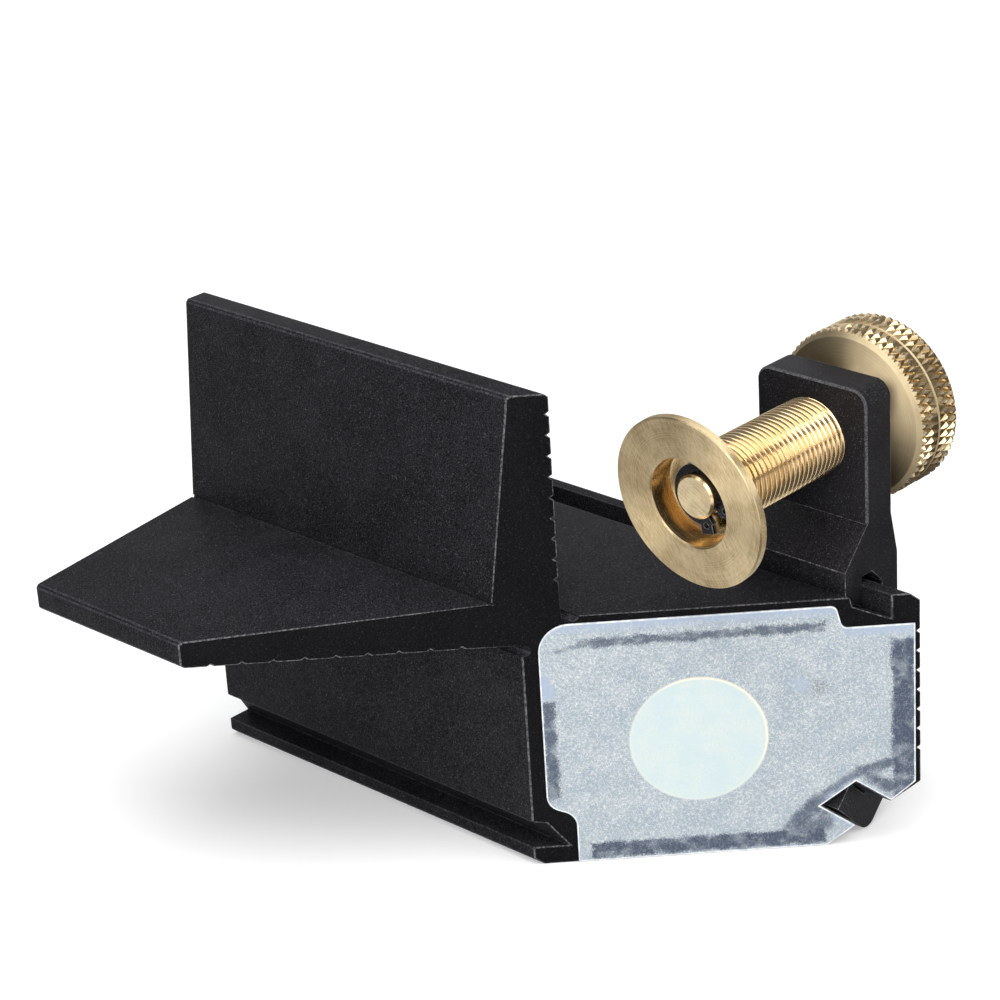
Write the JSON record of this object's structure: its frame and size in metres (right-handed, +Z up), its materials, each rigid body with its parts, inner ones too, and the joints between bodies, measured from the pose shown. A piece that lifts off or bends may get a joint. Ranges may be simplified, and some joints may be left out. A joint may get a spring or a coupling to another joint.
{
  "type": "dovetail saw guide",
  "caption": "Mitred aluminium guide that leads a handsaw square or at 45 degrees, with a screw clamp that slides along a rail to hold the work against a ribbed fence.",
  "frame": {"origin": "bottom of the box, in its middle, on the plane that the guide stands on", "axes": "+X from the fence towards the clamp, +Y along the extrusion to its square end, +Z up"},
  "size_m": [0.1134, 0.1328, 0.093],
  "materials": {
    "guide_anodised": "bead-blasted, black anodised",
    "bracket_anodised": "bead-blasted, black anodised",
    "magnet_nickel": "nickel plated",
    "film_plastic": "translucent low-friction film",
    "screw_brass": "turned and knurled",
    "pad_brass": "brushed",
    "lock_brass": "turned",
    "ring_black": "black oxide"
  },
  "bodies": {
    "guide": {"guide_body": "guide_anodised", "mitre_face_magnet": "magnet_nickel", "square_face_magnet": "magnet_nickel", "mitre_face_film": "film_plastic", "square_face_film": "film_plastic"},
    "bracket": {"clamp_bracket": "bracket_anodised"},
    "ring": {"retaining_ring": "ring_black"},
    "screw": {"clamp_screw": "screw_brass"},
    "pad": {"pressure_pad": "pad_brass"},
    "lock": {"lock_screw": "lock_brass"}
  },
  "joints": [
    {"name": "bracket_slide", "type": "slide", "parent": "guide", "child": "bracket", "axis": [0, 1, 0], "range_m": [-0.0012, 0.098]},
    {"name": "screw_travel", "type": "slide", "parent": "bracket", "child": "ring", "axis": [1, 0, 0], "range_m": [-0.0035, 0.026]},
    {"name": "screw_turn", "type": "hinge", "parent": "ring", "child": "screw", "pos_m": [0.0261, -0.04423, 0.07565], "axis": [1, 0, 0], "range_deg": [-985, 7313]},
    {"name": "pad_tilt", "type": "hinge", "parent": "ring", "child": "pad", "pos_m": [0.0058, -0.04423, 0.07565], "axis": [0, 0.9759, 0.2181], "range_deg": [0, 12.2]},
    {"name": "lock_turn", "type": "hinge", "parent": "bracket", "child": "lock", "pos_m": [0.0431, -0.04423, 0.03845], "axis": [1, 0, 0], "range_deg": [-100, 260]}
  ],
  "couplings": [
    {"joint": "screw_turn", "follows": "screw_travel", "rad_per_m": 4908.7}
  ]
}
